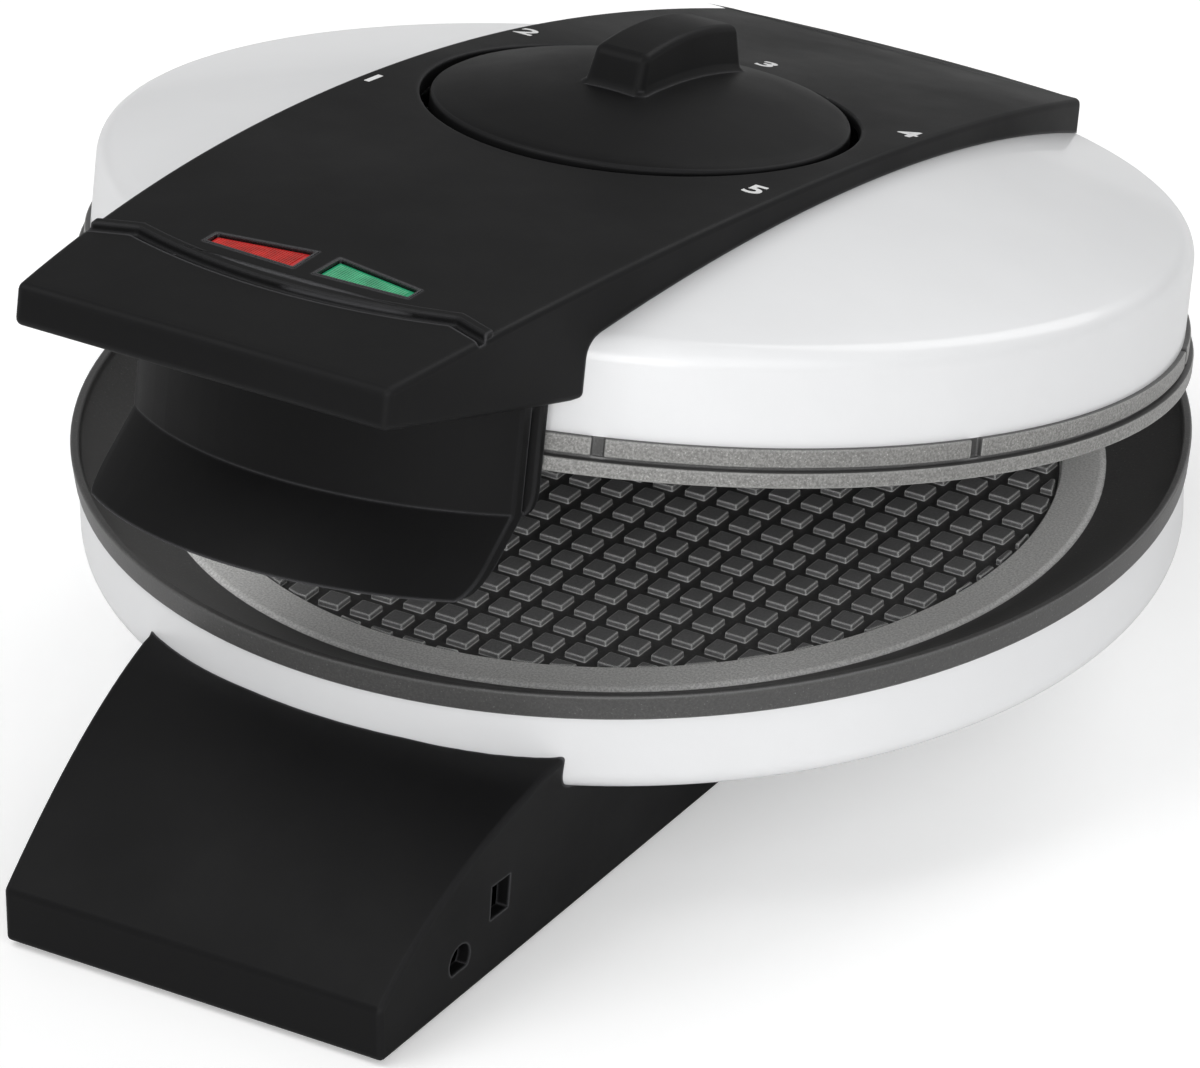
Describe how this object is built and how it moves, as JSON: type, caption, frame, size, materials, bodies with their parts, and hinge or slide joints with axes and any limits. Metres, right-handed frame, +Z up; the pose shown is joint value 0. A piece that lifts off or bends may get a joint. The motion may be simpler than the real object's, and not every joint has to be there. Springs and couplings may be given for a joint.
{
  "type": "stroopwafel iron",
  "caption": "Round countertop waffle iron with a hinged lid, shallow grid plates, a temperature knob, a handle with a finger guard and two indicator lamps.",
  "frame": {"origin": "on the surface that the rubber feet rest on, below the middle of the bounding box", "axes": "+Z up; +Y from the handles towards the hinge; +X to the right of someone at the handles"},
  "size_m": [0.236, 0.3042, 0.1468],
  "materials": {
    "black_plastic": "finely grained matte black moulding",
    "white_plastic": "smooth glossy white",
    "non_stick_casting": "dark speckled non-stick coating on a casting",
    "element_steel": "dull tubular element sheath",
    "aluminium_sheet": "bare sheet",
    "zinc_steel": "zinc plated",
    "bracket_steel": "black powder coat",
    "black_rubber": "matte",
    "lead_sleeve": "silicone sleeve",
    "ceramic_body": "unglazed",
    "terminal_plastic": "heat-proof moulding",
    "red_lens": "translucent red",
    "green_lens": "translucent green",
    "lamp_glass": "clear"
  },
  "bodies": {
    "stand": {"stand": "black_plastic", "base_cover": "black_plastic", "rubber_feet": "black_rubber", "lower_housing": "white_plastic", "lower_plate": "non_stick_casting", "lower_heating_element": "element_steel", "lower_element_clamps": "aluminium_sheet", "lower_heat_shield": "aluminium_sheet", "lower_plate_screws": "zinc_steel", "stand_screws": "zinc_steel", "cover_screws": "zinc_steel", "thermal_fuse": "ceramic_body", "terminal_block": "terminal_plastic", "cord_bush": "black_rubber", "stand_lead": "lead_sleeve", "hinge_pins": "zinc_steel"},
    "lid": {"top_band": "black_plastic", "handle_cover": "black_plastic", "finger_guard": "black_plastic", "guard_screws": "zinc_steel", "handle_screws": "zinc_steel", "upper_housing": "white_plastic", "upper_plate": "non_stick_casting", "upper_heating_element": "element_steel", "upper_element_clamps": "aluminium_sheet", "upper_heat_shield": "aluminium_sheet", "band_screws": "zinc_steel", "hinge_bracket": "bracket_steel", "bracket_screws": "zinc_steel", "thermostat": "ceramic_body", "thermostat_strap": "aluminium_sheet", "lens_bezel": "black_plastic", "red_lens": "red_lens", "green_lens": "green_lens", "lamp_holder": "black_plastic", "indicator_lamps": "lamp_glass", "lid_lead": "lead_sleeve"},
    "knob": {"temperature_knob": "black_plastic", "thermostat_shaft": "zinc_steel", "knob_clip": "zinc_steel"}
  },
  "joints": [
    {"name": "lid_hinge", "type": "hinge", "parent": "stand", "child": "lid", "pos_m": [0, 0.13995, 0.06], "axis": [-1, 0, 0], "range_deg": [-11.8, 88.2]},
    {"name": "knob_turn", "type": "hinge", "parent": "lid", "child": "knob", "pos_m": [0, 0.01955, 0.12918], "axis": [0, 0.2045, 0.9789], "range_deg": [-120, 120]}
  ]
}
